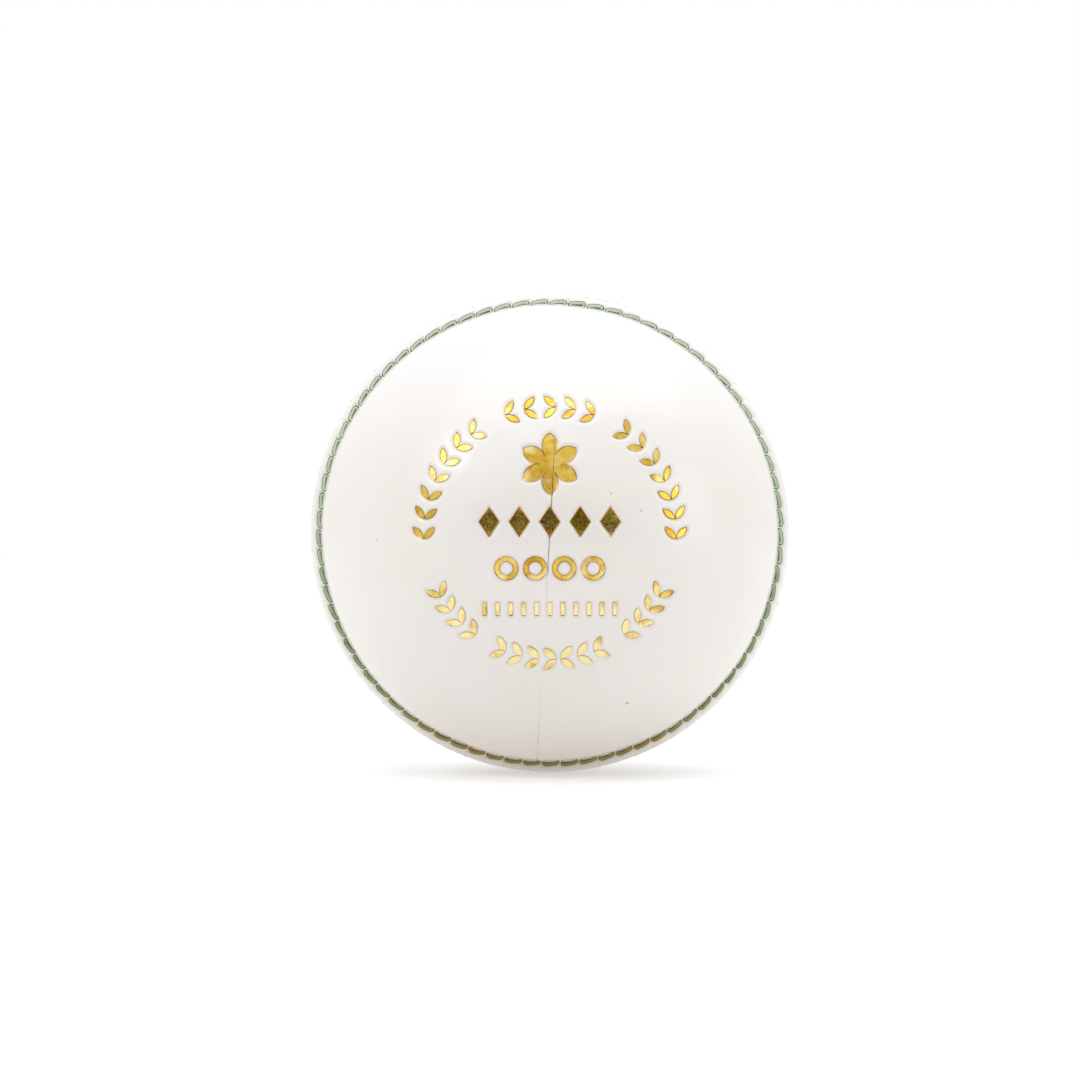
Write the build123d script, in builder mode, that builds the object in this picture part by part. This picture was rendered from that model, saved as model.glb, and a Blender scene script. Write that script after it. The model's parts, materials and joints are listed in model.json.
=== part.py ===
"""Four-piece cricket ball, in millimetres and degrees.

The origin is the ball's centre. The two leather cups meet in the XZ plane, so Y runs through both
poles. The front cup carries the gold stamp and faces -Y, and Z is up as the stamp stands.

From the middle outwards: a cork nucleus, worsted windings with cork strips between them, a lining in
each cup, two leather quarters to a cup, the hidden quarter-seam threads, and the main seam's six rows.
"""

import os
from math import asin, cos, degrees, radians, sin, sqrt

from build123d import *

os.makedirs("parts", exist_ok=True)

# ---------------------------------------------------------------- driving dimensions
BALL_RADIUS = 35.7
LEATHER_THICKNESS = 3.8
LINING_THICKNESS = 0.4
WINDING_THICKNESS = 2.3
WINDINGS = 5
CORK_THICKNESS = 1.2
CORK_STRIPS = 6
CORK_STRIP_GAP = 0.4

STITCHES = 77
THREAD_DIAMETER = 0.9
THREAD_CLEARANCE = 0.1
THREAD_BEND_RADIUS = 0.5
THREAD_DEPTH = 1.25
STITCH_GAP = 1.04

# Main seam, from the join outwards: each row's height, its thread's lift above the ball's sphere,
# the leather's lift where it meets the row, the crest of the roll before it and that crest's height.
SEAM_ROWS = {
    "closing": dict(height=1.8, thread_lift=0.30, edge_lift=0.45, crest_lift=0.75, crest_height=0.6),
    "inner_seam": dict(height=5.4, thread_lift=0.20, edge_lift=0.40, crest_lift=0.75, crest_height=3.6),
    "outer_seam": dict(height=9.0, thread_lift=0.05, edge_lift=0.20, crest_lift=0.90, crest_height=7.1),
}
ROW_PHASES = {"closing": 0.0, "inner_seam": 0.45, "outer_seam": 0.2}  # share of one stitch

# The front quarters meet near the YZ plane, and the back quarters at right angles to them.
QUARTER_SEAM_TILT = 3.2
QUARTER_THREAD_DIAMETER = 0.7
QUARTER_THREAD_BEND = 0.5
QUARTER_STITCH_STEP = 1.5
QUARTER_STITCH_REACH = 1.1
CREASE_DEPTH = 0.12
CREASE_WIDTH = 0.3

STAMP_DEPTH = 0.14
FOIL_THICKNESS = 0.08
PUNCH_START = 27.0
PUNCH_LENGTH = 10.0
WREATH_RADIUS = 18.0
WREATH_PITCH = 9.0
LOWER_WREATH_PITCH = 7.8
LEAF_LENGTH = 2.3
LEAF_WIDTH = 0.95
LEAF_LEAN = 42.0
LEAF_SPREAD = 0.8
ROSETTE_HEIGHT = 9.8
ROSETTE_PETALS = 6
PETAL_LENGTH = 3.7
PETAL_WIDTH = 2.3
ROSETTE_EYE = 1.5

# ---------------------------------------------------------------- values that follow
LEATHER_INNER = BALL_RADIUS - LEATHER_THICKNESS
LINING_INNER = LEATHER_INNER - LINING_THICKNESS
NUCLEUS_RADIUS = LINING_INNER - WINDINGS * WINDING_THICKNESS - (WINDINGS - 1) * CORK_THICKNESS
STITCH_ANGLE = 360 / STITCHES
CHANNEL_HALF_WIDTH = THREAD_DIAMETER / 2 + THREAD_CLEARANCE
BEYOND = 2 * BALL_RADIUS

FRONT_QUARTER_PLANE = Plane(
    origin=(0, 0, 0),
    x_dir=(sin(radians(QUARTER_SEAM_TILT)), 0, cos(radians(QUARTER_SEAM_TILT))),
    z_dir=(cos(radians(QUARTER_SEAM_TILT)), 0, -sin(radians(QUARTER_SEAM_TILT))),
)
BACK_QUARTER_PLANE = Plane(
    origin=(0, 0, 0),
    x_dir=FRONT_QUARTER_PLANE.z_dir,
    z_dir=FRONT_QUARTER_PLANE.x_dir,
)


def save(part, name):
    """Labels a finished piece and writes it under its own name."""
    part.label = name
    export_step(part, f"parts/{name}.step")


def sphere_radius_at(height, radius=BALL_RADIUS):
    """Distance from the Y axis to a sphere's surface, at that height above the join."""
    return sqrt(radius**2 - height**2)


def on_ball(height, lift=0.0):
    """A point of the cup's profile: its distance from the Y axis, then its height above the join."""
    return (sphere_radius_at(height) + lift, height)


def thread_radius(row):
    """Distance from the Y axis to a row's thread, where the thread shows."""
    return sphere_radius_at(row["height"]) + row["thread_lift"]


# ---------------------------------------------------------------- the quilted centre
def make_nucleus():
    with BuildPart() as cork_nucleus:
        Sphere(radius=NUCLEUS_RADIUS)
    save(cork_nucleus.part, "cork_nucleus")


def make_winding(number, inner):
    """A layer of tightly wound worsted, as one closed shell."""
    with BuildPart() as yarn_winding:
        Sphere(radius=inner + WINDING_THICKNESS)
        Sphere(radius=inner, mode=Mode.SUBTRACT)
    save(yarn_winding.part, f"yarn_winding_{number}")


def make_cork_strips(number, inner):
    """Thin cork strips laid side by side round the ball; each layer crosses the one below it."""
    crossing = Rotation(0, 90, 0) if number % 2 else Rotation(90, 0, 0)
    with BuildPart() as cork_strips:
        Sphere(radius=inner + CORK_THICKNESS)
        Sphere(radius=inner, mode=Mode.SUBTRACT)
        for cut in range(CORK_STRIPS // 2):
            turn = Rotation(0, 0, (cut + 0.25) * 360 / CORK_STRIPS)
            with Locations(crossing * turn):
                Box(CORK_STRIP_GAP, BEYOND, BEYOND, mode=Mode.SUBTRACT)
    save(cork_strips.part, f"cork_strips_{number}")


def make_quilt():
    """The nucleus, then a winding, then cork and a winding by turns."""
    make_nucleus()
    radius = NUCLEUS_RADIUS
    for number in range(1, WINDINGS + 1):
        make_winding(number, radius)
        radius += WINDING_THICKNESS
        if number < WINDINGS:
            make_cork_strips(number, radius)
            radius += CORK_THICKNESS


# ---------------------------------------------------------------- the cups
def cup_profile():
    """One cup's section on the side of +Y, with a channel for each row of the main seam."""
    outermost = SEAM_ROWS["outer_seam"]["height"] + CHANNEL_HALF_WIDTH
    shoulder = degrees(asin(outermost / BALL_RADIUS))
    with BuildSketch(Plane.XY) as profile:
        with BuildLine():
            CenterArc((0, 0), LEATHER_INNER, 0, 90)
            Line((0, LEATHER_INNER), (0, BALL_RADIUS))
            CenterArc((0, 0), BALL_RADIUS, shoulder, 90 - shoulder)
            edge = on_ball(0, SEAM_ROWS["closing"]["edge_lift"])
            Line((LEATHER_INNER, 0), edge)
            for row in SEAM_ROWS.values():
                near = row["height"] - CHANNEL_HALF_WIDTH
                far = row["height"] + CHANNEL_HALF_WIDTH
                floor = thread_radius(row) - THREAD_DEPTH - CHANNEL_HALF_WIDTH
                roll_end = on_ball(near, row["edge_lift"])
                far_lift = 0 if far == outermost else row["edge_lift"]
                ThreePointArc(edge, on_ball(row["crest_height"], row["crest_lift"]), roll_end)
                edge = on_ball(far, far_lift)
                Polyline(roll_end, (floor, near), (floor, far), edge)
        make_face()
    return profile.sketch


def make_cups():
    """Both whole cups of leather: the back one, and the front one as its mirror image."""
    with BuildPart() as back_cup:
        add(cup_profile())
        revolve(axis=Axis.Y)
    with BuildPart() as front_cup:
        add(mirror(back_cup.part, about=Plane.XZ))
    return front_cup.part, back_cup.part


def quarter_seam_relief(quarter_plane):
    """What a quarter seam takes out of a cup: a slot inside for its thread, and a crease outside."""
    slot_reach = QUARTER_STITCH_REACH + QUARTER_THREAD_DIAMETER / 2 + THREAD_CLEARANCE
    slot_radius = LEATHER_INNER + QUARTER_THREAD_DIAMETER + 2 * THREAD_CLEARANCE
    crease_ring = Plane(origin=(0, 0, 0), x_dir=quarter_plane.x_dir, z_dir=quarter_plane.y_dir)
    shoulder = SEAM_ROWS["outer_seam"]["height"] + 1
    with BuildPart() as relief:
        with BuildSketch(quarter_plane.offset(-slot_reach)):
            Circle(slot_radius)
        extrude(amount=2 * slot_reach)
        with BuildSketch(crease_ring):
            with Locations((BALL_RADIUS, 0)):
                Polygon((-CREASE_DEPTH, 0), (1, -CREASE_WIDTH), (1, CREASE_WIDTH), align=None)
        revolve(axis=Axis((0, 0, 0), quarter_plane.z_dir))
        with BuildSketch(Plane.XZ.offset(-shoulder)):
            Circle(BEYOND)
            Circle(slot_radius, mode=Mode.SUBTRACT)
        extrude(amount=2 * shoulder, mode=Mode.SUBTRACT)
    return relief.part


def make_quarter(name, cup, quarter_plane, keep, relief, stamp=None):
    """One leather quarter: half of a cup, less the quarter seam's slot and crease, and the stamp."""
    with BuildPart() as leather_quarter:
        add(cup)
        split(bisect_by=quarter_plane, keep=keep)
        add(relief, mode=Mode.SUBTRACT)
        if stamp is not None:
            add(stamp, mode=Mode.SUBTRACT)
    save(leather_quarter.part, name)


def make_lining(name, side):
    """The thin leather lining glued inside one cup; side is -1 in front and +1 behind."""
    with BuildPart() as cup_lining:
        Sphere(radius=LEATHER_INNER)
        Sphere(radius=LINING_INNER, mode=Mode.SUBTRACT)
        split(bisect_by=Plane.XZ, keep=Keep.TOP if side < 0 else Keep.BOTTOM)
    save(cup_lining.part, name)


def make_quarter_thread(name, quarter_plane, side):
    """The hidden thread that laces two quarters from inside: a zigzag across the quarter seam."""
    radius = LEATHER_INNER + QUARTER_THREAD_DIAMETER / 2 + THREAD_CLEARANCE
    step = degrees(QUARTER_STITCH_STEP / radius)
    first = degrees(SEAM_ROWS["closing"]["height"] / radius)
    count = int((180 - 2 * first) / step)
    start = 90 - step * (count - 1) / 2
    route = []
    for index in range(count):
        angle = radians(start + index * step)
        across = QUARTER_STITCH_REACH * (-1) ** index
        point = Vector(radius * cos(angle), 0, 0) + Vector(0, radius * sin(angle), 0)
        along = quarter_plane.x_dir * point.X + Vector(0, side, 0) * point.Y
        route.append(along + quarter_plane.z_dir * across)
    with BuildPart() as quarter_thread:
        with BuildLine() as path:
            FilletPolyline(*route, radius=QUARTER_THREAD_BEND)
        wire = path.wires()[0]
        with BuildSketch(Plane(origin=wire @ 0, z_dir=wire % 0)):
            Circle(QUARTER_THREAD_DIAMETER / 2)
        sweep(path=wire)
    save(quarter_thread.part, name)


# ---------------------------------------------------------------- the main seam
def stitch_route(radius):
    """One stitch of a row in its own plane: from the bottom of an awl hole, over, to the next."""
    bottom = radius - THREAD_DEPTH
    half = radians(STITCH_ANGLE / 2)
    start = (bottom * cos(half), -bottom * sin(half))
    end = (start[0], -start[1])
    turn_in = STITCH_GAP / 2
    low = (start[0] + turn_in * sin(half), start[1] + turn_in * cos(half))
    leg_angle = half - turn_in / radius
    high = (radius * cos(leg_angle), -radius * sin(leg_angle))
    return [start, low, high, (high[0], -high[1]), (low[0], -low[1]), end]


def make_seam_row(name, row, phase, side):
    """One row of the main seam, as the one thread that runs in and out round the ball."""
    with BuildPart() as seam_thread:
        with BuildLine(Plane.XZ) as one_stitch:
            FilletPolyline(*stitch_route(thread_radius(row)), radius=THREAD_BEND_RADIUS)
        edges = []
        for number in range(STITCHES):
            turn = Rotation(0, (number + phase) * STITCH_ANGLE, 0)
            place = Location((0, side * row["height"], 0)) * turn
            edges += [edge.moved(place) for edge in one_stitch.edges()]
        wire = Wire(edges)
        with BuildSketch(Plane(origin=wire @ 0, z_dir=wire % 0)):
            Circle(THREAD_DIAMETER / 2)
        sweep(path=wire)
    save(seam_thread.part, name)


# ---------------------------------------------------------------- the gold stamp
def leaf(length, width):
    """A pointed leaf along the sketch's Y, centred on its middle."""
    tip = length / 2
    with BuildSketch() as outline:
        with BuildLine():
            ThreePointArc((0, -tip), (width / 2, 0), (0, tip))
            ThreePointArc((0, tip), (-width / 2, 0), (0, -tip))
        make_face()
    return outline.sketch


def wreath_angles():
    """Where the wreath's leaves stand, in degrees from the stamp's +X: three groups above and below."""
    upper = [place for place in range(-10, 11) if abs(place) != 3]
    lower = [place for place in range(-8, 9) if abs(place) != 4]
    angles = [90 + place * WREATH_PITCH for place in upper]
    return angles + [270 + place * LOWER_WREATH_PITCH for place in lower]


def stamp_marks():
    """The stamp's generic ornaments, on the XZ plane as the viewer sees the front cup."""
    wreath_leaf = leaf(LEAF_LENGTH, LEAF_WIDTH)
    petal = leaf(PETAL_LENGTH, PETAL_WIDTH)
    with BuildSketch(Plane.XZ) as marks:
        for angle in wreath_angles():
            for side in (-1, 1):
                radius = WREATH_RADIUS + side * LEAF_SPREAD
                centre = (radius * cos(radians(angle)), radius * sin(radians(angle)))
                lean = side * LEAF_LEAN if cos(radians(angle)) > 0 else -side * LEAF_LEAN
                with Locations(Location(centre, angle - lean)):
                    add(wreath_leaf)
        with Locations((0, ROSETTE_HEIGHT)):
            Circle(ROSETTE_EYE)
            with PolarLocations(PETAL_LENGTH / 2 + 0.7, ROSETTE_PETALS, start_angle=90):
                add(petal, rotation=-90)
        with GridLocations(4.3, 0, 5, 1):
            with Locations((0, 1.6)):
                Polygon((-1.5, 0), (0, -2.2), (1.5, 0), (0, 2.2), align=None)
        with Locations((0, -5.0)):
            with GridLocations(4.1, 0, 4, 1):
                Circle(1.7)
                Circle(0.95, mode=Mode.SUBTRACT)
        with Locations((0, -10.8)):
            with GridLocations(1.85, 0, 11, 1):
                Rectangle(0.55, 1.9)
    return marks.sketch


def make_stamp():
    """The gold foil pressed into the front cup, and the recess that the leather needs for it."""
    floor = BALL_RADIUS - STAMP_DEPTH
    with BuildPart() as recess:
        with BuildSketch(Plane.XZ.offset(PUNCH_START)):
            add(stamp_marks())
        extrude(amount=PUNCH_LENGTH)
        Sphere(radius=floor, mode=Mode.SUBTRACT)
    with BuildPart() as gold_foil_stamp:
        add(recess.part)
        Sphere(radius=floor + FOIL_THICKNESS, mode=Mode.INTERSECT)
    save(gold_foil_stamp.part, "gold_foil_stamp")
    return recess.part


# ---------------------------------------------------------------- build
make_quilt()

front_cup, back_cup = make_cups()
stamp_recess = make_stamp()
front_relief = quarter_seam_relief(FRONT_QUARTER_PLANE)
back_relief = quarter_seam_relief(BACK_QUARTER_PLANE)
make_quarter("leather_front_right", front_cup, FRONT_QUARTER_PLANE, Keep.TOP, front_relief, stamp_recess)
make_quarter("leather_front_left", front_cup, FRONT_QUARTER_PLANE, Keep.BOTTOM, front_relief, stamp_recess)
make_quarter("leather_back_upper", back_cup, BACK_QUARTER_PLANE, Keep.TOP, back_relief)
make_quarter("leather_back_lower", back_cup, BACK_QUARTER_PLANE, Keep.BOTTOM, back_relief)

make_lining("lining_front", -1)
make_lining("lining_back", 1)
make_quarter_thread("quarter_seam_thread_front", FRONT_QUARTER_PLANE, -1)
make_quarter_thread("quarter_seam_thread_back", BACK_QUARTER_PLANE, 1)

for row_name, seam_row in SEAM_ROWS.items():
    for side_name, side in (("front", -1), ("back", 1)):
        make_seam_row(f"{row_name}_stitching_{side_name}", seam_row, ROW_PHASES[row_name], side)
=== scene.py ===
"""Looks for the cricket ball: sewn white leather, waxed green thread and worn gold foil.

Lengths in this script are millimetres until a mesh is made, when they become metres. A place on the
ball is given by its turn about Y (0 at +X, rising towards +Z), its height above the plane where the
two leather cups join, and its cup's side: -1 for the stamped front cup and +1 for the back cup.
"""

import json
from math import asin, ceil, cos, pi, radians, sin, tau

import bmesh
import bpy
import numpy as np
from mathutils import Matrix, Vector
from mathutils.bvhtree import BVHTree


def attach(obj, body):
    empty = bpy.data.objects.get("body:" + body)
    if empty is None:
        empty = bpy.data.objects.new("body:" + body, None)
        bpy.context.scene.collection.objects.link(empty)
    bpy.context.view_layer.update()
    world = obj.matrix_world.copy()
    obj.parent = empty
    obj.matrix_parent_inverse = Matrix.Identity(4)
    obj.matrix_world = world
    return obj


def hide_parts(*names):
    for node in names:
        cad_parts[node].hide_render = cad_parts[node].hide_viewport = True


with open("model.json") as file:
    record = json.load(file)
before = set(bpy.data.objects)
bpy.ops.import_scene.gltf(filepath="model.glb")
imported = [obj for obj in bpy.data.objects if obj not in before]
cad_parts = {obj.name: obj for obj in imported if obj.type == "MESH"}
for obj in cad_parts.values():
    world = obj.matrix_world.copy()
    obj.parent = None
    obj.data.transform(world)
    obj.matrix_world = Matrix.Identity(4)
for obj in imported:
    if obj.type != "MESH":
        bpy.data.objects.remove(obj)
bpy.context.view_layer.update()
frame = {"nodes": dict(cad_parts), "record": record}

# ---------------------------------------------------------------- sizes, in millimetres
MM = 0.001
BALL_RADIUS = 35.7
LEATHER_INNER = 31.9
SLOT_RADIUS = 32.8
SLOT_REACH = 1.55
SEAM_CREST = 36.45
STITCHES = 77
STITCH_TURN = tau / STITCHES
BAND_HEIGHT = 10.3
STAMP_REACH = 21.0
STAMP_DEPTH = 0.14
FOIL_CLEARANCE = 0.04
FOIL_RADIUS = 35.64
FOIL_BEVEL = 0.1
FOIL_DISH = 0.045
LEATHER_WHITE = (0.735, 0.697, 0.668, 1)
LEATHER_CREAM = (0.712, 0.685, 0.640, 1)

# Each row of the main seam: height above the join, the thread's lift above the sphere, the phase
# of its stitches, how far round its section the crown of the thread's painted highlight lies, how
# strong that painted highlight is, and the thread's thickness.
ROWS = {
    "closing": dict(height=1.8, lift=0.24, phase=0.0, highlight_crown=10, highlight_strength=0.8, thickness=0.84),
    "inner_seam": dict(height=5.4, lift=0.26, phase=0.45, highlight_crown=30, highlight_strength=0.8, thickness=0.84),
    "outer_seam": dict(height=9.0, lift=0.07, phase=0.2, highlight_crown=95, highlight_strength=1.0, thickness=0.70),
}

# The leather's lift above the sphere across the main seam, by height above the join.
SEAM_HEIGHTS = [0, 0.12, 0.3, 0.65, 1.1, 1.8, 2.5, 3.6, 4.7, 5.4]
SEAM_HEIGHTS += [6.1, 7.1, 8.1, 8.6, 9.0, 9.7, 10.3, 11.2, 12.5, 36]
SEAM_LIFTS = [0.20, 0.42, 0.62, 0.74, 0.64, 0.46, 0.60, 0.75, 0.62, 0.5]
SEAM_LIFTS += [0.66, 0.92, 0.68, 0.32, 0.0, -0.2, -0.13, -0.03, 0, 0]
TABLE_STEP = 0.02
TABLE_PAD = 15
TABLE_SMOOTHING = 0.14

# Each stitch: how far its top, its legs and the holes in the leather reach from its middle, how far
# it slants across the row and leans outwards, and the leather's groove, holes, rise between stitches
# and pucker.
STITCH_REACH = 1.03
STITCH_LEG = 1.0
STITCH_HOLE = 1.1
STITCH_SLANT = 0.25
STITCH_LEAN = 0.17
GROOVE_DEPTH = 0.2
HOLE_DEPTH = 0.4
GAP_RISE = 0.34
PUCKER_HEIGHT = 0.05
THREAD_WIDTH = 0.94
THREAD_SIDES = 16
PLY_PITCH = 1.9

# The quarter seam's crease, a dent in the front cup, and small dirty marks as (x, y, z, radius).
CREASE_DEPTH = 0.15
CREASE_WIDTH = 0.11
DENT_PLACE = (18.0, -27.9, -13.2)
DENT_DEPTH = 0.06
DENT_RADIUS = 1.3
MARKS = [
    (8.7, -34.2, 5.6, 0.28),
    (13.0, -33.1, 3.2, 0.24),
    (11.2, -23.2, -24.7, 0.4),
    (-24.9, -25.6, -1, 0.2),
]

QUARTER_TURN = radians(86.8)
QUARTERS = {
    "leather_front_right": dict(side=-1, start=QUARTER_TURN - pi),
    "leather_front_left": dict(side=-1, start=QUARTER_TURN),
    "leather_back_upper": dict(side=1, start=QUARTER_TURN - pi / 2),
    "leather_back_lower": dict(side=1, start=QUARTER_TURN + pi / 2),
}


# ---------------------------------------------------------------- numbers
def smooth_step(low, high, value):
    share = np.clip((value - low) / (high - low), 0, 1)
    return share * share * (3 - 2 * share)


def bell(value, width):
    return np.exp(-((value / width) ** 2))


def ripples(points, wavelength, seed, waves=14):
    """Smooth noise between about -1 and 1, as a sum of plane waves of similar length."""
    chance = np.random.default_rng(seed)
    directions = chance.normal(size=(waves, 3))
    directions /= np.linalg.norm(directions, axis=1)[:, None]
    lengths = wavelength * chance.uniform(0.7, 1.5, waves)
    offsets = chance.uniform(0, tau, waves)
    phases = points @ (directions * tau / lengths[:, None]).T + offsets
    return np.sin(phases).sum(axis=1) / np.sqrt(waves)


def place(turn, height, radius, side):
    """Points from their turn about Y, height above the join, distance from Y and side."""
    return np.stack([radius * np.cos(turn), side * height, radius * np.sin(turn)], axis=1)


def sphere_radius_at(height, radius=BALL_RADIUS):
    return np.sqrt(np.maximum(radius**2 - height**2, 0))


# ---------------------------------------------------------------- meshes
def make_piece(name, points, faces, material, sharp_angle=None, layers=None):
    """A mesh object on the ball's one body, with outward normals and any named point values."""
    mesh = bpy.data.meshes.new(name)
    mesh.from_pydata((np.asarray(points) * MM).tolist(), [], faces)
    shape = bmesh.new()
    shape.from_mesh(mesh)
    bmesh.ops.recalc_face_normals(shape, faces=shape.faces)
    shape.to_mesh(mesh)
    shape.free()
    mesh.shade_smooth()
    if sharp_angle is not None:
        mesh.set_sharp_from_angle(angle=radians(sharp_angle))
    for layer, values in (layers or {}).items():
        attribute = mesh.attributes.new(layer, "FLOAT", "POINT")
        attribute.data.foreach_set("value", values.astype(np.float32))
    mesh.materials.append(material)
    piece = bpy.data.objects.new(name, mesh)
    bpy.context.scene.collection.objects.link(piece)
    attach(piece, "root")
    return piece


def bridge(faces, low, low_at, high, high_at):
    """Fills the strip between two rows of vertices, given their numbers and rising positions."""
    i = 0
    j = 0
    while i < len(low) - 1 or j < len(high) - 1:
        low_next = low_at[i + 1] if i < len(low) - 1 else np.inf
        high_next = high_at[j + 1] if j < len(high) - 1 else np.inf
        if low_next <= high_next:
            faces.append((low[i], low[i + 1], high[j]))
            i += 1
        else:
            faces.append((low[i], high[j + 1], high[j]))
            j += 1


def half_ring(radius, spacing, near_ends):
    """Turns from 0 to pi at about that spacing, with extra ones at set distances from both ends."""
    count = max(4, ceil(pi * radius / spacing))
    turns = list(np.linspace(0, pi, count + 1))
    for distance in near_ends:
        if distance < radius / 2:
            turns += [asin(distance / radius), pi - asin(distance / radius)]
    return np.array(sorted(turns))


# ---------------------------------------------------------------- leather
seam_table_heights = np.arange(0, 36, TABLE_STEP)
seam_table_lifts = np.interp(seam_table_heights, SEAM_HEIGHTS, SEAM_LIFTS)
smoothing = bell(np.arange(-TABLE_PAD, TABLE_PAD + 1) * TABLE_STEP, TABLE_SMOOTHING)
padded_lifts = np.pad(seam_table_lifts, TABLE_PAD, mode="edge")
seam_table_lifts = np.convolve(padded_lifts, smoothing / smoothing.sum(), mode="valid")

foil_node = frame["nodes"]["gold_foil_stamp"]
foil_tree = BVHTree.FromPolygons(
    [v.co.copy() for v in foil_node.data.vertices],
    [tuple(p.vertices) for p in foil_node.data.polygons],
)


def stamp_press(points):
    """How far the stamp pressed each point in, from 0 to 1, by its distance from the foil."""
    press = np.zeros(len(points))
    from_axis = np.hypot(points[:, 0], points[:, 2])
    for index in np.nonzero((from_axis < STAMP_REACH) & (points[:, 1] < 0))[0]:
        probe = Vector(points[index]).normalized() * FOIL_RADIUS * MM
        found = foil_tree.find_nearest(probe, 0.6 * MM)
        if found[3] is not None:
            press[index] = 1 - smooth_step(0.05, 0.45, found[3] / MM)
    return press


def row_groove(turn, height, row):
    """A stitch row's groove: how much it rules each point, its lift there, and a pucker."""
    thread_radius = sphere_radius_at(row["height"]) + row["lift"]
    stitch = -turn / STITCH_TURN - row["phase"]
    along = -(stitch - np.round(stitch)) * STITCH_TURN * thread_radius
    across = height - row["height"] - 0.18 * along
    hole = bell(np.abs(along) - STITCH_HOLE, 0.2)
    notch = smooth_step(1.24, 1.4, np.abs(along))
    floor = row["lift"] - GROOVE_DEPTH - HOLE_DEPTH * hole * (1 - notch) + GAP_RISE * notch
    rule = 1 - smooth_step(0.36, 0.8, np.abs(across))
    pucker = PUCKER_HEIGHT * np.cos(tau * stitch) * bell(np.abs(across) - 1.0, 0.4)
    return rule, floor, pucker


def undulation(points):
    """The gentle unevenness that the leather, and the foil pressed into it, share."""
    return 0.035 * ripples(points, 14, 1) + 0.008 * ripples(points, 3.2, 2)


def leather_surface(turn, height, side, start):
    """The outside of a quarter: its points, and how much darker each one is coloured along the
    seams.
    """
    lift = np.interp(height, seam_table_heights, seam_table_lifts)
    groove_share = np.zeros(len(turn))
    for row in ROWS.values():
        rule, floor, pucker = row_groove(turn, height, row)
        lift = lift * (1 - rule) + floor * rule + pucker
        groove_share = np.maximum(groove_share, rule)
    radius = sphere_radius_at(height)
    points = place(turn, height, radius + lift, side)
    outward = place(turn, height, radius, side) / BALL_RADIUS
    from_quarter_seam = radius * np.sin(turn - start)

    fading = 0.6 + 0.4 * ripples(points, 9, 5)
    if side < 0:
        rise = points[:, 2]
        fading = (
            0.02
            + 0.05 * ripples(points, 5, 5)
            + 1.6 * bell(rise - 2, 8)
            + 0.5 * bell(rise + 30, 7)
        )
    crease = np.clip(fading, 0, 1.6) * (CREASE_DEPTH * bell(from_quarter_seam, CREASE_WIDTH))
    lip = 0.02 * bell(from_quarter_seam - 0.45, 0.3)
    dent = DENT_DEPTH * bell(np.linalg.norm(points - DENT_PLACE, axis=1), DENT_RADIUS)
    relief = undulation(points) + lip - crease - dent
    if side < 0:
        relief -= (STAMP_DEPTH + FOIL_CLEARANCE) * stamp_press(points)
    # Darker colour in the stitch grooves and along the quarter seam.
    seam_darkening = 0.12 * groove_share + 0.7 * bell(from_quarter_seam, 0.09) * np.clip(fading, 0, 1)
    return points + outward * relief[:, None], seam_darkening


def ring_heights(side):
    """Heights of the outside's rings, close together on the seam and under the stamp."""
    seam = np.concatenate([[0, 0.06, 0.14], np.arange(0.26, BAND_HEIGHT, 0.16)])
    stamp_start = asin(sphere_radius_at(STAMP_REACH) / BALL_RADIUS)
    plain = np.arange(asin(BAND_HEIGHT / BALL_RADIUS), stamp_start, 0.3 / BALL_RADIUS)
    fine = 0.2 if side < 0 else 0.3
    stamp = np.arange(stamp_start, pi / 2 - 0.5 * fine / BALL_RADIUS, fine / BALL_RADIUS)
    return np.concatenate([seam, BALL_RADIUS * np.sin(np.concatenate([plain, stamp]))])


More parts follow.
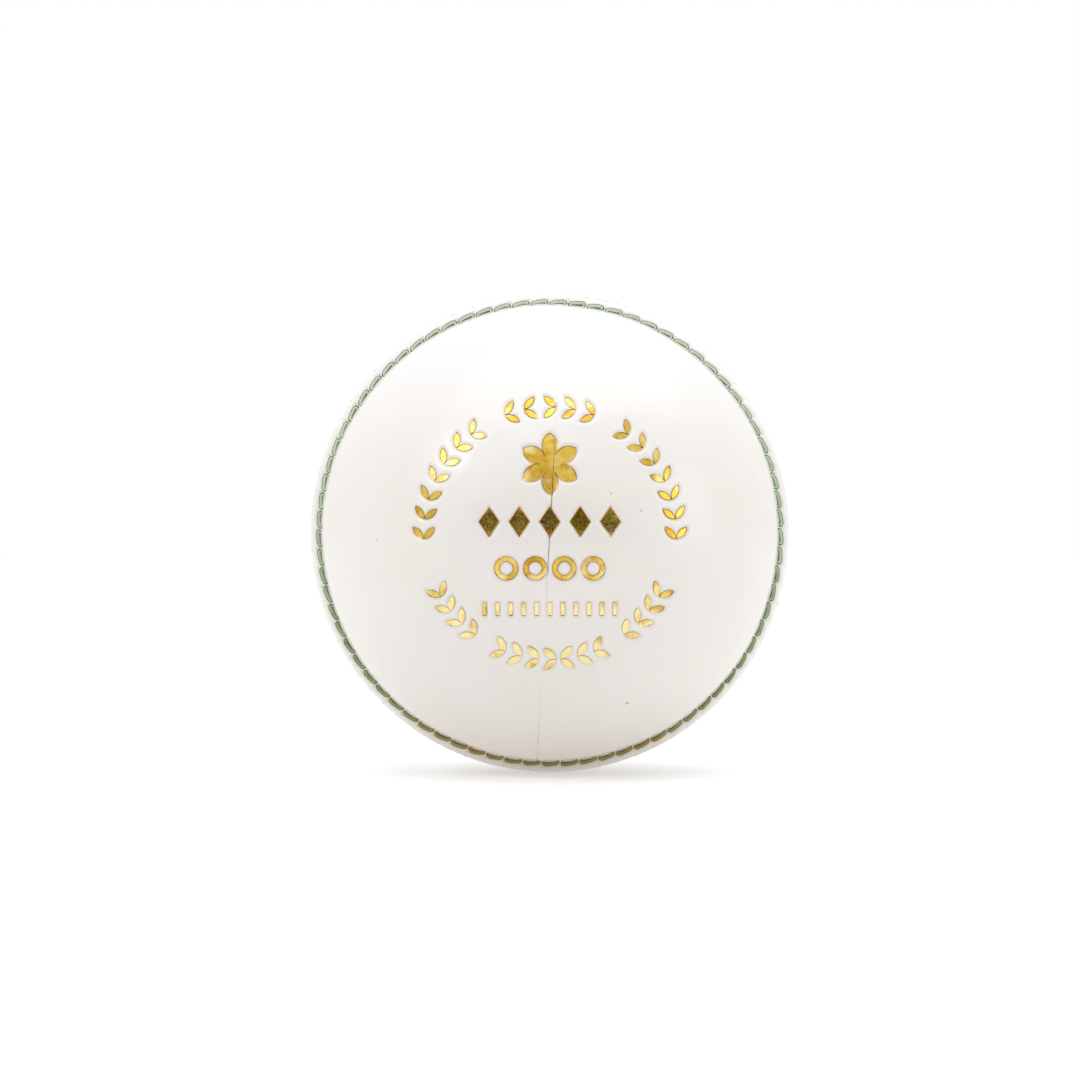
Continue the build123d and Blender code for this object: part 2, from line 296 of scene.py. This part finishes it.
def make_leather(name, side, start, material):
    """One leather quarter as a closed solid: outside, inside, join face and quarter-seam face."""
    rings = []
    for height in ring_heights(side):
        radius = float(sphere_radius_at(height))
        spacing = 0.3
        if height < BAND_HEIGHT:
            spacing = pi * radius / (8 * STITCHES)
        elif radius < STAMP_REACH and side < 0:
            spacing = 0.2
        turns = half_ring(radius, spacing, (0.05, 0.11, 0.18, 0.28))
        rings.append((turns, np.full(len(turns), height)))
    rings.append((np.array([0.0]), np.array([BALL_RADIUS])))
    outer_count = sum(len(turns) for turns, heights in rings)
    for rise in np.linspace(0, pi / 2, 30)[:-1]:
        height = LEATHER_INNER * sin(rise)
        turns = half_ring(LEATHER_INNER * cos(rise), 2.5, (SLOT_REACH, SLOT_REACH + 0.1))
        rings.append((turns, np.full(len(turns), height)))
    rings.append((np.array([0.0]), np.array([LEATHER_INNER])))

    turn = np.concatenate([turns for turns, heights in rings])
    height = np.concatenate([heights for turns, heights in rings])
    outside, seam_darkening = leather_surface(turn[:outer_count] + start, height[:outer_count], side, start)
    inner_turn = turn[outer_count:]
    inner_height = height[outer_count:]
    inner_radius = sphere_radius_at(inner_height, LEATHER_INNER)
    inside = place(inner_turn + start, inner_height, inner_radius, side)
    in_slot = (inner_radius * np.sin(inner_turn) < SLOT_REACH + 0.01) & (inner_height > 1)
    inside[in_slot] *= SLOT_RADIUS / LEATHER_INNER

    numbers = []
    first = 0
    for turns, heights in rings:
        numbers.append(list(range(first, first + len(turns))))
        first += len(turns)
    apex = [index for index, row in enumerate(numbers) if len(row) == 1]
    outer_rows = range(apex[0] + 1)
    inner_rows = range(apex[0] + 1, apex[1] + 1)
    faces = []
    for rows in (outer_rows, inner_rows):
        for low, high in zip(rows[:-1], rows[1:]):
            bridge(faces, numbers[low], rings[low][0], numbers[high], rings[high][0])
    bridge(faces, numbers[0], rings[0][0], numbers[inner_rows[0]], rings[inner_rows[0]][0])
    edges = []
    for rows, radius in ((outer_rows, BALL_RADIUS), (inner_rows, LEATHER_INNER)):
        rising = [(numbers[row][0], asin(rings[row][1][0] / radius)) for row in rows]
        falling = [
            (numbers[row][-1], pi - asin(rings[row][1][0] / radius)) for row in reversed(rows[:-1])
        ]
        edges.append(rising + falling)
    outer_edge, inner_edge = edges
    bridge(
        faces,
        [number for number, at in outer_edge],
        [at for number, at in outer_edge],
        [number for number, at in inner_edge],
        [at for number, at in inner_edge],
    )
    points = np.concatenate([outside, inside])
    seam_darkening = np.concatenate([seam_darkening, np.zeros(len(inside))])
    piece = make_piece(f"sewn_{name}", points, faces, material, 62, {"seam_darkening": seam_darkening})
    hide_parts(name)


# ---------------------------------------------------------------- thread
def tube_faces(rings, sides, closed):
    """The quads of a tube whose vertices run ring by ring, joined end to end if it is closed."""
    faces = []
    for ring in range(rings if closed else rings - 1):
        low = ring * sides
        high = (ring + 1) % rings * sides
        for corner in range(sides):
            beside = (corner + 1) % sides
            faces.append((low + corner, low + beside, high + beside, high + corner))
    return faces


def round_corners(points, times):
    """Cuts the corners of a closed path whose first value runs on by a whole turn at the end."""
    for _ in range(times):
        ahead = np.roll(points, -1, axis=0)
        ahead[-1, 0] += tau
        points = np.stack([0.75 * points + 0.25 * ahead, 0.25 * points + 0.75 * ahead], axis=1)
        points = points.reshape(-1, 3)
    return points


def stitch_path(row, seed):
    """Turn, distance from Y and height of one row's thread, all the way round."""
    chance = np.random.default_rng(seed)
    thread_radius = float(sphere_radius_at(row["height"])) + row["lift"]
    half_pitch = STITCH_TURN * thread_radius / 2
    path = []
    for number in reversed(range(STITCHES)):
        centre = -(number + row["phase"]) * STITCH_TURN
        stretch = chance.normal(1, 0.02)
        slant = STITCH_SLANT * chance.normal(1, 0.2)
        rise = chance.normal(0, 0.015)
        shift = chance.normal(0, 0.02)
        corners = [(-half_pitch, -1.0), (-STITCH_LEG, -0.75), (-STITCH_REACH, 0.0), (-0.5, 0.05)]
        corners += [(0.5, 0.05), (STITCH_REACH, 0.0), (STITCH_LEG, -0.75)]
        for along, lift in corners:
            height = row["height"] + slant * along / half_pitch + shift
            lift += rise - STITCH_LEAN * along / half_pitch
            path.append((centre + along * stretch / thread_radius, thread_radius + lift, height))
    return round_corners(np.array(path), 2)


def make_thread(name, row, side, material, seed):
    """One row's waxed thread: twisted plies of an oval section, pulled flat on the leather."""
    path = stitch_path(row, seed)
    centres = place(path[:, 0], path[:, 2], path[:, 1], side)
    ahead = np.roll(centres, -1, axis=0) - centres
    tangent = ahead + np.roll(ahead, 1, axis=0)
    tangent /= np.linalg.norm(tangent, axis=1)[:, None]
    poleward = np.array([0, side, 0.0]) - tangent * tangent[:, 1:2] * side
    poleward /= np.linalg.norm(poleward, axis=1)[:, None]
    outward = np.cross(poleward, tangent) * side
    lengths = np.concatenate([[0], np.cumsum(np.linalg.norm(ahead, axis=1))])
    ply_turns = round(lengths[-1] / PLY_PITCH)
    twist = tau * ply_turns * lengths[:-1] / lengths[-1]
    section = np.arange(THREAD_SIDES) * tau / THREAD_SIDES
    ply = np.abs(np.cos(1.5 * (section[None, :] - twist[:, None])))
    swell = 0.9 + 0.1 * ply
    half_height = row["thickness"] / 2 * swell * np.cos(section)[None, :]
    half_width = THREAD_WIDTH / 2 * swell * np.sin(section)[None, :]
    points = (
        centres[:, None, :]
        + outward[:, None, :] * half_height[:, :, None]
        + poleward[:, None, :] * half_width[:, :, None]
    ).reshape(-1, 3)
    count = len(path)
    # This share paints a pale highlight along one side of the thread's section.
    highlight_crown = np.tile(row["highlight_strength"] * np.cos(section - radians(row["highlight_crown"])), count)
    layers = {"highlight_crown": highlight_crown, "ply": ply.reshape(-1)}
    faces = tube_faces(count, THREAD_SIDES, closed=True)
    piece = make_piece(f"waxed_{name}", points, faces, material, None, layers)
    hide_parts(name)


def make_fibre(name, row, turn, material):
    """A stray wisp of thread standing off one row."""
    rings = 12
    sides = 6
    steps = np.linspace(0, 1, rings)
    start = float(sphere_radius_at(row["height"])) + row["lift"]
    turns = turn + 0.006 * steps + 0.012 * steps**2
    centres = place(turns, row["height"] + 0.25 * steps, start + 0.25 + 0.65 * steps, -1)
    section = np.arange(sides) * tau / sides
    across = np.stack([np.cos(section), np.sin(section), 0.4 * np.sin(section)], axis=1)
    radius = 0.05 - 0.025 * steps
    points = (centres[:, None, :] + across[None, :, :] * radius[:, None, None]).reshape(-1, 3)
    count = len(points)
    faces = [tuple(range(sides)), tuple(range(count - sides, count))]
    faces += tube_faces(rings, sides, closed=False)
    # The wisp carries the thread's painted highlight all round.
    layers = {"highlight_crown": np.full(count, 0.8), "ply": np.ones(count)}
    piece = make_piece(name, points, faces, material, None, layers)


# ---------------------------------------------------------------- foil
def dish_foil(piece, rim_material):
    """Presses the middle of each ornament in a little, which leaves a bevel round its edge."""
    shape = bmesh.new()
    shape.from_mesh(piece.data)
    bmesh.ops.remove_doubles(shape, verts=shape.verts, dist=0.002 * MM)
    bmesh.ops.recalc_face_normals(shape, faces=shape.faces)
    top = []
    for face in shape.faces:
        if face.normal.dot(face.calc_center_median().normalized()) > 0.9:
            top.append(face)
    rim = bmesh.ops.inset_region(
        shape, faces=top, thickness=FOIL_BEVEL * MM, depth=-FOIL_DISH * MM, use_even_offset=True
    )
    # The bevel takes the second material, a darker gold that paints shade on it.
    for face in rim["faces"]:
        face.material_index = 1
    shape.to_mesh(piece.data)
    shape.free()
    piece.data.materials.append(rim_material)
    piece.data.shade_flat()


# ---------------------------------------------------------------- shader helpers
def new_material(name):
    material = bpy.data.materials.new(name)
    material.use_nodes = True
    return material, material.node_tree, material.node_tree.nodes["Principled BSDF"]


def node(tree, kind, inputs, **settings):
    made = tree.nodes.new(kind)
    for key, value in settings.items():
        setattr(made, key, value)
    set_inputs(tree, made, inputs)
    return made


def set_inputs(tree, shader, inputs):
    """Sets a node's inputs by name or number, each one to a value or a link."""
    for key, value in inputs.items():
        if isinstance(value, bpy.types.NodeSocket):
            tree.links.new(value, shader.inputs[key])
        else:
            shader.inputs[key].default_value = value


def object_place(tree):
    return node(tree, "ShaderNodeTexCoord", {}).outputs["Object"]


def stretched(tree, vector, scale, turn=(0, 0, 0)):
    inputs = {"Vector": vector, "Scale": scale, "Rotation": turn}
    return node(tree, "ShaderNodeMapping", inputs).outputs["Vector"]


def rise_of(tree, vector):
    return node(tree, "ShaderNodeSeparateXYZ", {0: vector}).outputs["Z"]


def noise(tree, vector, size, detail=3.0, roughness=0.5):
    """Noise whose lumps are about that many millimetres across."""
    inputs = {"Vector": vector, "Scale": 1 / (size * MM), "Detail": detail, "Roughness": roughness}
    return node(tree, "ShaderNodeTexNoise", inputs).outputs[0]


def cells(tree, vector, size, feature="F1"):
    inputs = {"Vector": vector, "Scale": 1 / (size * MM)}
    return node(tree, "ShaderNodeTexVoronoi", inputs, feature=feature).outputs["Distance"]


def graded(tree, value, low, high, start=0.0, end=1.0):
    inputs = {"Value": value, "From Min": low, "From Max": high, "To Min": start, "To Max": end}
    return node(tree, "ShaderNodeMapRange", inputs).outputs["Result"]


def combine(tree, first, second, operation="ADD"):
    """The two values added, or put through another math operation."""
    return node(tree, "ShaderNodeMath", {0: first, 1: second}, operation=operation).outputs[0]


def blend(tree, share, first, second):
    """The first colour where share is 0 and the second where it is 1."""
    inputs = {0: share, 6: first, 7: second}
    return node(tree, "ShaderNodeMix", inputs, data_type="RGBA").outputs[2]


def stored(tree, name):
    return node(tree, "ShaderNodeAttribute", {}, attribute_name=name).outputs["Fac"]


def bumped(tree, height, depth, strength=1.0, below=None):
    inputs = {"Height": height, "Distance": depth * MM, "Strength": strength}
    if below is not None:
        inputs["Normal"] = below
    return node(tree, "ShaderNodeBump", inputs).outputs["Normal"]


def spots(tree, vector, places):
    """1 inside small round marks, given as (x, y, z, radius) in millimetres, and 0 elsewhere."""
    total = None
    for x, y, z, radius in places:
        inputs = {0: vector, 1: (x * MM, y * MM, z * MM)}
        distance = node(tree, "ShaderNodeVectorMath", inputs, operation="DISTANCE").outputs["Value"]
        mark = graded(tree, distance, radius * MM, 0.4 * radius * MM)
        total = mark if total is None else combine(tree, total, mark, "MAXIMUM")
    return total


# ---------------------------------------------------------------- materials
def white_leather_material():
    material, tree, shader = new_material("lacquered_white_leather")
    where = object_place(tree)
    patches = noise(tree, where, 16, 4, 0.6)
    mottle = noise(tree, where, 2.2, 5, 0.65)
    colour = blend(tree, graded(tree, patches, 0.35, 0.65), LEATHER_WHITE, LEATHER_CREAM)
    colour = blend(tree, graded(tree, mottle, 0.45, 0.8, 0, 0.25), colour, (0.75, 0.71, 0.64, 1))
    rise = rise_of(tree, where)
    # Painted shade: the leather is coloured darker and warmer towards the bottom.
    colour = blend(tree, graded(tree, rise, -0.024, -0.036, 0, 0.5), colour, (0.66, 0.59, 0.50, 1))
    # Painted light: the leather is coloured paler towards the top, as if lit from above.
    colour = blend(tree, graded(tree, rise, 0.006, 0.024, 0, 0.9), colour, (0.75, 0.735, 0.728, 1))
    # Darker colour in the stitch grooves and along the quarter seam.
    darkening_strength = graded(tree, mottle, 0.3, 0.7, 0.25, 1)
    darkening_share = combine(tree, stored(tree, "seam_darkening"), darkening_strength, "MULTIPLY")
    colour = blend(tree, darkening_share, colour, (0.28, 0.22, 0.16, 1))
    mark_share = combine(tree, spots(tree, where, MARKS), 0.6, "MULTIPLY")
    colour = blend(tree, mark_share, colour, (0.28, 0.25, 0.21, 1))

    streaks = noise(tree, stretched(tree, where, (1, 1, 0.05), (0.3, 0.9, 0.5)), 0.35, 2)
    scratches = graded(tree, streaks, 0.74, 0.8)
    pores = graded(tree, cells(tree, where, 0.42), 0.0, 0.35)
    grain = noise(tree, where, 0.28, 4, 0.6)
    normal = bumped(tree, noise(tree, where, 1.4, 3), 0.035)
    normal = bumped(tree, grain, 0.012, 1.0, normal)
    normal = bumped(tree, pores, 0.006, 0.8, normal)
    normal = bumped(tree, scratches, -0.02, 0.6, normal)
    set_inputs(
        tree,
        shader,
        {
            "Base Color": colour,
            "Roughness": graded(tree, mottle, 0.3, 0.75, 0.34, 0.5),
            "Normal": normal,
            "Coat Weight": 0.55,
            "Coat Roughness": 0.16,
            "Coat Normal": bumped(tree, grain, 0.006),
        },
    )
    return material


def green_thread_material():
    material, tree, shader = new_material("waxed_green_thread")
    where = object_place(tree)
    fibres = noise(tree, stretched(tree, where, (1, 0.25, 1)), 0.12, 3, 0.7)
    patches = noise(tree, where, 2.2, 4, 0.6)
    patch_share = graded(tree, patches, 0.38, 0.62)
    colour = blend(tree, patch_share, (0.045, 0.105, 0.015, 1), (0.10, 0.125, 0.02, 1))
    low = rise_of(tree, where)
    low = combine(tree, low, graded(tree, patches, 0.3, 0.7, -0.008, 0.008))
    streaks = graded(tree, noise(tree, where, 1.1, 3), 0.38, 0.6, 0.25, 1)
    browned = combine(tree, graded(tree, low, -0.022, -0.033), streaks, "MULTIPLY")
    colour = blend(tree, browned, colour, (0.26, 0.12, 0.012, 1))
    # Painted shade: the thread is darker where the plies dip between each other.
    ply_shade = graded(tree, stored(tree, "ply"), 0.0, 0.45, 0.6, 0)
    colour = blend(tree, ply_shade, colour, (0.03, 0.05, 0.02, 1))
    # Painted highlight: a pale band along one side of each thread.
    highlight_crown = graded(tree, stored(tree, "highlight_crown"), 0.62, 0.88)
    highlight_share = combine(tree, highlight_crown, graded(tree, fibres, 0.3, 0.6, 0.55, 1.0), "MULTIPLY")
    # The painted highlight is stronger towards the top, as if lit from above.
    highlight_share = combine(tree, highlight_share, graded(tree, low, -0.032, 0.02, 0.4, 1.0), "MULTIPLY")
    # The painted highlight's colour is lighter towards the top.
    pale = blend(tree, graded(tree, low, 0.0, -0.022), (0.60, 0.72, 0.54, 1), (0.42, 0.58, 0.28, 1))
    pale = blend(tree, browned, pale, (0.60, 0.36, 0.08, 1))
    colour = blend(tree, highlight_share, colour, pale)
    set_inputs(
        tree,
        shader,
        {
            "Base Color": colour,
            "Roughness": graded(tree, patches, 0.3, 0.7, 0.28, 0.42),
            "Normal": bumped(tree, fibres, 0.03, 0.9),
            "Specular IOR Level": 0.2,
            "Coat Weight": 0.2,
            "Coat Roughness": 0.14,
            "Coat IOR": 1.45,
        },
    )
    return material


def gold_foil_material(name, bright, deep):
    material, tree, shader = new_material(name)
    where = object_place(tree)
    patches = noise(tree, where, 5.0, 3, 0.6)
    crinkle = noise(tree, where, 0.35, 4, 0.6)
    colour = blend(tree, graded(tree, patches, 0.35, 0.65), bright, deep)
    # Painted dark reflection: orange-brown patches that stand in for the foil reflecting darker
    # surroundings.
    dark_reflection_share = graded(tree, noise(tree, where, 1.8, 3), 0.52, 0.68, 0, 0.7)
    colour = blend(tree, dark_reflection_share, colour, (0.46, 0.19, 0.02, 1))
    rise = rise_of(tree, where)
    pale = combine(tree, graded(tree, rise, -0.002, -0.011, 0.0, 0.22), noise(tree, where, 3.2, 3))
    colour = blend(tree, graded(tree, pale, 0.55, 0.75, 0, 0.85), colour, (0.86, 0.74, 0.38, 1))
    across = node(
        tree,
        "ShaderNodeVectorMath",
        {0: where, 1: (sin(QUARTER_TURN), 0, -cos(QUARTER_TURN))},
        operation="DOT_PRODUCT",
    ).outputs["Value"]
    wander = graded(tree, noise(tree, where, 0.8, 2), 0, 1, -0.06 * MM, 0.06 * MM)
    across = combine(tree, across, wander)
    from_seam = node(tree, "ShaderNodeMath", {0: across}, operation="ABSOLUTE").outputs[0]
    crack = graded(tree, from_seam, 0.03 * MM, 0.07 * MM)
    flecks = graded(tree, noise(tree, where, 0.5, 5, 0.7), 0.335, 0.37)
    set_inputs(
        tree,
        shader,
        {
            "Base Color": colour,
            "Metallic": 1.0,
            "Roughness": graded(tree, crinkle, 0.3, 0.7, 0.14, 0.3),
            "Normal": bumped(tree, crinkle, 0.02, 0.7),
            "Alpha": combine(tree, crack, flecks, "MULTIPLY"),
        },
    )
    return material


def cork_material():
    material, tree, shader = new_material("pressed_cork")
    where = object_place(tree)
    granules = cells(tree, where, 1.6)
    edges = cells(tree, where, 1.6, "DISTANCE_TO_EDGE")
    fine = noise(tree, where, 0.3, 5, 0.7)
    granule_share = graded(tree, granules, 0, 0.7)
    colour = blend(tree, granule_share, (0.56, 0.36, 0.19, 1), (0.36, 0.21, 0.10, 1))
    colour = blend(tree, graded(tree, edges, 0.0, 0.06, 0.8, 0), colour, (0.13, 0.07, 0.03, 1))
    colour = blend(tree, graded(tree, fine, 0.55, 0.7, 0, 0.6), colour, (0.20, 0.11, 0.05, 1))
    normal = bumped(tree, graded(tree, edges, 0, 0.12), 0.12)
    normal = bumped(tree, fine, 0.06, 0.8, normal)
    set_inputs(tree, shader, {"Base Color": colour, "Roughness": 0.9, "Normal": normal})
    return material


def worsted_material():
    material, tree, shader = new_material("wound_worsted")
    where = object_place(tree)
    strands = None
    for turn in ((0.4, 0.2, 0.0), (1.3, 0.7, 0.9), (0.2, 1.5, 2.0)):
        turned = stretched(tree, where, (1, 1, 1), turn)
        inputs = {"Vector": turned, "Scale": 330.0, "Distortion": 1.2, "Detail": 2.0}
        wave = node(tree, "ShaderNodeTexWave", inputs).outputs["Fac"]
        strands = wave if strands is None else combine(tree, strands, wave, "MAXIMUM")
    fuzz = noise(tree, where, 0.15, 4, 0.7)
    colour = blend(tree, strands, (0.42, 0.35, 0.24, 1), (0.72, 0.65, 0.50, 1))
    colour = blend(tree, graded(tree, fuzz, 0.4, 0.8, 0, 0.5), colour, (0.50, 0.42, 0.30, 1))
    normal = bumped(tree, strands, 0.25)
    normal = bumped(tree, fuzz, 0.05, 0.8, normal)
    inputs = {"Base Color": colour, "Roughness": 0.95, "Normal": normal, "Sheen Weight": 0.4}
    set_inputs(tree, shader, inputs)
    return material


def lining_material():
    material, tree, shader = new_material("undyed_split_leather")
    where = object_place(tree)
    nap = noise(tree, where, 0.25, 5, 0.7)
    patches = noise(tree, where, 6, 4, 0.6)
    patch_share = graded(tree, patches, 0.3, 0.7)
    colour = blend(tree, patch_share, (0.52, 0.36, 0.21, 1), (0.42, 0.27, 0.14, 1))
    colour = blend(tree, graded(tree, nap, 0.5, 0.75, 0, 0.5), colour, (0.60, 0.45, 0.29, 1))
    normal = bumped(tree, nap, 0.06)
    inputs = {"Base Color": colour, "Roughness": 0.85, "Normal": normal, "Sheen Weight": 0.3}
    set_inputs(tree, shader, inputs)
    return material


def linen_material():
    material, tree, shader = new_material("linen_thread")
    where = object_place(tree)
    turned = stretched(tree, where, (1, 1, 1), (0.6, 0.5, 0.8))
    twist = node(tree, "ShaderNodeTexWave", {"Vector": turned, "Scale": 900.0}).outputs["Fac"]
    fuzz = noise(tree, where, 0.1, 4, 0.7)
    colour = blend(tree, twist, (0.55, 0.48, 0.34, 1), (0.75, 0.69, 0.54, 1))
    normal = bumped(tree, twist, 0.06)
    normal = bumped(tree, fuzz, 0.03, 0.8, normal)
    inputs = {"Base Color": colour, "Roughness": 0.8, "Normal": normal, "Sheen Weight": 0.2}
    set_inputs(tree, shader, inputs)
    return material


# ---------------------------------------------------------------- the ball
leather = white_leather_material()
for quarter_name, quarter in QUARTERS.items():
    make_leather(quarter_name, quarter["side"], quarter["start"], leather)

green_thread = green_thread_material()
for number, (row_name, row) in enumerate(ROWS.items()):
    for side_name, side in (("front", -1), ("back", 1)):
        thread_name = f"{row_name}_stitching_{side_name}"
        make_thread(thread_name, row, side, green_thread, 10 * number + side + 1)

make_fibre("loose_fibre", ROWS["outer_seam"], 1.485, green_thread)

foil_points = np.array([v.co for v in foil_node.data.vertices]) / MM
foil_points *= 1 + undulation(foil_points)[:, None] / BALL_RADIUS
foil_faces = [tuple(p.vertices) for p in foil_node.data.polygons]
bright_foil = gold_foil_material("worn_gold_foil", (0.78, 0.55, 0.11, 1), (0.56, 0.36, 0.035, 1))
foil = make_piece("pressed_gold_foil", foil_points, foil_faces, bright_foil)
# A darker copy of the gold for the bevels: painted shade.
shaded_foil_edge = gold_foil_material("painted_shade_foil_edge", (0.50, 0.26, 0.04, 1), (0.26, 0.11, 0.015, 1))
dish_foil(foil, shaded_foil_edge)
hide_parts("gold_foil_stamp")

slot_looks = {
    "cork": cork_material(),
    "worsted": worsted_material(),
    "lining_leather": lining_material(),
    "quarter_thread": linen_material(),
}
for subpart in frame["record"]["subparts"]:
    if subpart["material_slot"] in slot_looks:
        kept_mesh = frame["nodes"][subpart["node"]].data
        kept_mesh.materials.clear()
        kept_mesh.materials.append(slot_looks[subpart["material_slot"]])


# ---------------------------------------------------------------- studio
def plain_material(name, colour, roughness):
    material, tree, shader = new_material(name)
    set_inputs(tree, shader, {"Base Color": colour, "Roughness": roughness})
    return material


def stage_card(name, centre, facing, width, height, material):
    """A flat card that isn't part of the ball, turned to face a direction."""
    mesh = bpy.data.meshes.new(name)
    x = width / 2
    y = height / 2
    mesh.from_pydata([(-x, -y, 0), (x, -y, 0), (x, y, 0), (-x, y, 0)], [], [(0, 1, 2, 3)])
    mesh.materials.append(material)
    card = bpy.data.objects.new(name, mesh)
    card.location = centre
    card.rotation_euler = Vector(facing).to_track_quat("Z", "Y").to_euler()
    bpy.context.scene.collection.objects.link(card)
    return card


def soft_light(name, centre, target, width, height, power):
    data = bpy.data.lights.new(name, "AREA")
    data.shape = "RECTANGLE"
    data.size = width
    data.size_y = height
    data.energy = power
    light = bpy.data.objects.new(name, data)
    light.location = centre
    light.rotation_euler = (Vector(target) - Vector(centre)).to_track_quat("-Z", "Y").to_euler()
    light.visible_camera = False
    bpy.context.scene.collection.objects.link(light)


floor_material = plain_material("white_sweep", (0.55, 0.55, 0.55, 1), 0.6)
floor_shader = floor_material.node_tree.nodes["Principled BSDF"]
floor_shader.inputs["Emission Color"].default_value = (1, 1, 1, 1)
floor_shader.inputs["Emission Strength"].default_value = 0.45
stage_card("floor", (0, 0, -SEAM_CREST * MM), (0, 0, 1), 8, 8, floor_material)
dark_material = plain_material("dark_card", (0.03, 0.025, 0.02, 1), 0.8)
card_centre = (0, -0.52, 0.062)
camera_card = stage_card("dark_camera_side", card_centre, (0, 1, 0), 0.9, 0.196, dark_material)
camera_card.visible_camera = False

soft_light("overhead_softbox", (0.06, -0.08, 0.75), (0, 0, 0), 1.3, 0.7, 3.2)
soft_light("window_left", (-0.67, -0.48, 0.57), (0, 0, 0), 0.22, 0.22, 1.25)
soft_light("fill_right", (0.75, -0.3, 0.1), (0, 0, 0), 0.4, 0.5, 0.9)

world = bpy.data.worlds.new("white_room")
world.use_nodes = True
background = world.node_tree.nodes["Background"]
background.inputs["Color"].default_value = (1, 1, 1, 1)
background.inputs["Strength"].default_value = 1.0
bpy.context.scene.world = world
bpy.context.scene.view_settings.view_transform = "Standard"

camera_data = bpy.data.cameras.new("camera")
camera_data.lens = 98.04
camera_data.sensor_width = 36
camera = bpy.data.objects.new("camera", camera_data)
camera.location = (0, -0.45, 0)
aim = Vector((-0.0015, 0, -0.00107))
camera.rotation_euler = (aim - camera.location).to_track_quat("-Z", "Y").to_euler()
bpy.context.scene.collection.objects.link(camera)
bpy.context.scene.camera = camera
